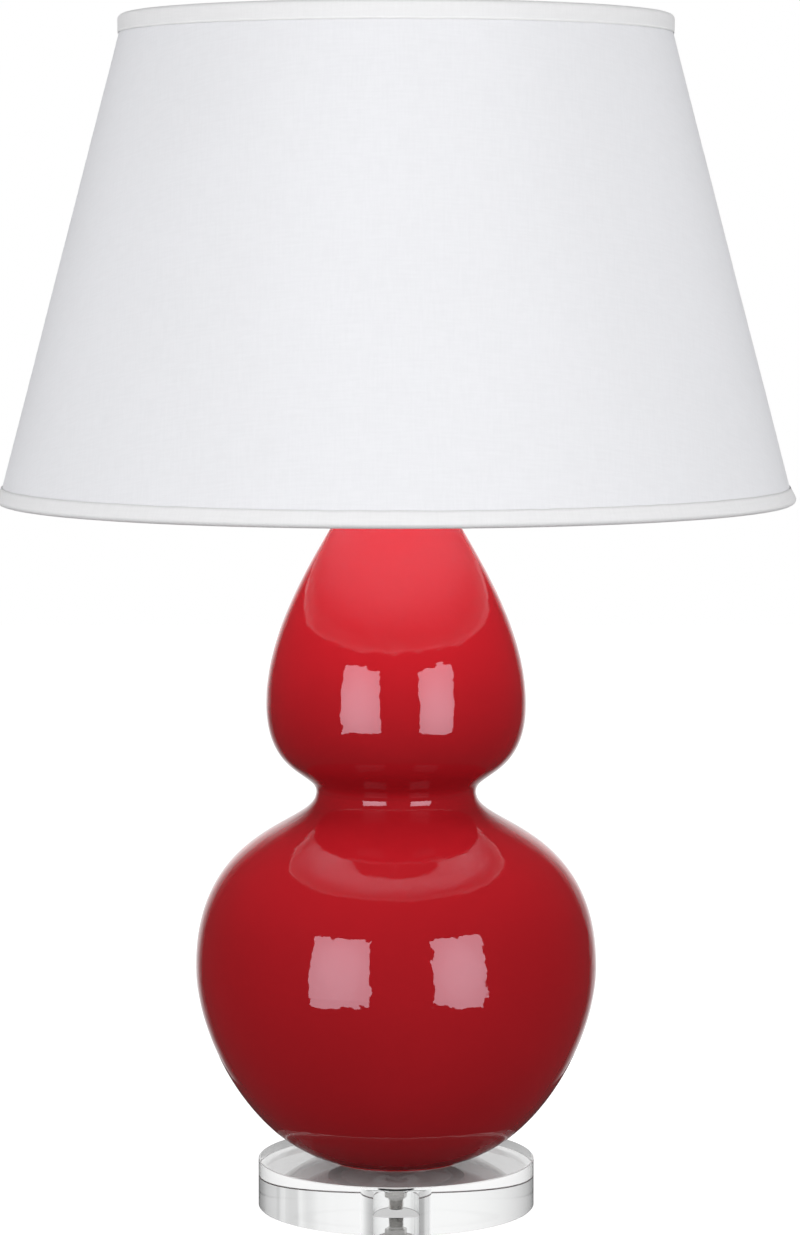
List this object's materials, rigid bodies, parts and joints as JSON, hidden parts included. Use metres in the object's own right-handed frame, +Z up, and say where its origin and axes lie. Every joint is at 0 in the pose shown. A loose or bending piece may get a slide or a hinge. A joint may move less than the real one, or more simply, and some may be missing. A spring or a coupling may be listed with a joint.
{
  "type": "table lamp",
  "caption": "Table lamp with a glossy ceramic double gourd on a clear acrylic disc, a tapered fabric shade on a wire harp, and a bulb socket with a turn switch.",
  "frame": {"origin": "on the table, under the middle of the acrylic disc", "axes": "+Z up through the middle of the gourd and the shade, -Y to the front, +X to the right seen from the front"},
  "size_m": [0.5085, 0.5086, 0.762],
  "materials": {
    "acrylic": "clear, polished",
    "crimson_glaze": "high gloss",
    "steel": "zinc plated",
    "nickel": "polished",
    "brass": "bright",
    "nylon": "satin",
    "phenolic": "moulded",
    "fibre": "matte",
    "shade_cloth": "plain weave",
    "shade_tape": "folded tape",
    "styrene": "satin",
    "wire": "white enamel",
    "frosted_glass": "frosted",
    "bulb_metal": "drawn",
    "black_glass": "gloss",
    "solder": "dull"
  },
  "bodies": {
    "base": {"acrylic_base": "acrylic", "base_washer": "steel", "base_nut": "steel", "lamp_pipe": "steel", "ceramic_body": "crimson_glaze", "cord_bushing": "nylon", "vase_cap": "nickel", "neck_tube": "nickel", "harp_saddle": "nickel", "socket_cap": "nickel", "socket_set_screw": "steel", "socket_shell": "nickel", "socket_liner": "fibre", "socket_interior": "phenolic", "socket_screw_shell": "brass", "socket_contact": "brass", "terminal_screws": "brass"},
    "switch": {"switch_shaft": "brass", "switch_knob": "phenolic"},
    "bulb_carrier": {"bulb_contact": "solder", "bulb_insulator": "black_glass"},
    "bulb": {"bulb_base": "bulb_metal", "bulb_glass": "frosted_glass"},
    "harp": {"harp_frame": "nickel", "harp_stud": "nickel"},
    "sleeve_left": {"harp_sleeve_left": "nickel"},
    "sleeve_right": {"harp_sleeve_right": "nickel"},
    "shade": {"shade_spider": "wire", "shade_top_ring": "wire", "shade_bottom_ring": "wire", "shade_liner": "styrene", "shade_fabric": "shade_cloth", "top_trim": "shade_tape", "bottom_trim": "shade_tape"},
    "finial_carrier": {"finial_base": "nickel"},
    "finial": {"finial_knob": "nickel"}
  },
  "joints": [
    {"name": "switch_turn", "type": "hinge", "parent": "base", "child": "switch", "pos_m": [0, -0.03, 0.5241], "axis": [0, -1, 0], "continuous": true},
    {"name": "bulb_rise", "type": "slide", "parent": "base", "child": "bulb_carrier", "axis": [0, 0, 1], "range_m": [0, 0.0236]},
    {"name": "bulb_turn", "type": "hinge", "parent": "bulb_carrier", "child": "bulb", "pos_m": [0, 0, 0.56], "axis": [0, 0, 1], "range_deg": [0, 2340]},
    {"name": "harp_lift", "type": "slide", "parent": "base", "child": "harp", "axis": [0, 0, 1], "range_m": [0, 0.02]},
    {"name": "sleeve_left_slide", "type": "slide", "parent": "harp", "child": "sleeve_left", "axis": [0, 0, 1], "range_m": [0, 0.013]},
    {"name": "sleeve_right_slide", "type": "slide", "parent": "harp", "child": "sleeve_right", "axis": [0, 0, 1], "range_m": [0, 0.013]},
    {"name": "shade_turn", "type": "hinge", "parent": "harp", "child": "shade", "pos_m": [0, 0, 0.733], "axis": [0, 0, 1], "continuous": true},
    {"name": "finial_rise", "type": "slide", "parent": "harp", "child": "finial_carrier", "axis": [0, 0, 1], "range_m": [0, 0.0094]},
    {"name": "finial_turn", "type": "hinge", "parent": "finial_carrier", "child": "finial", "pos_m": [0, 0, 0.75], "axis": [0, 0, 1], "range_deg": [0, 3600]}
  ],
  "couplings": [
    {"joint": "finial_turn", "follows": "finial_rise", "rad_per_m": 6684.2},
    {"joint": "bulb_turn", "follows": "bulb_rise", "rad_per_m": 1730.9}
  ]
}
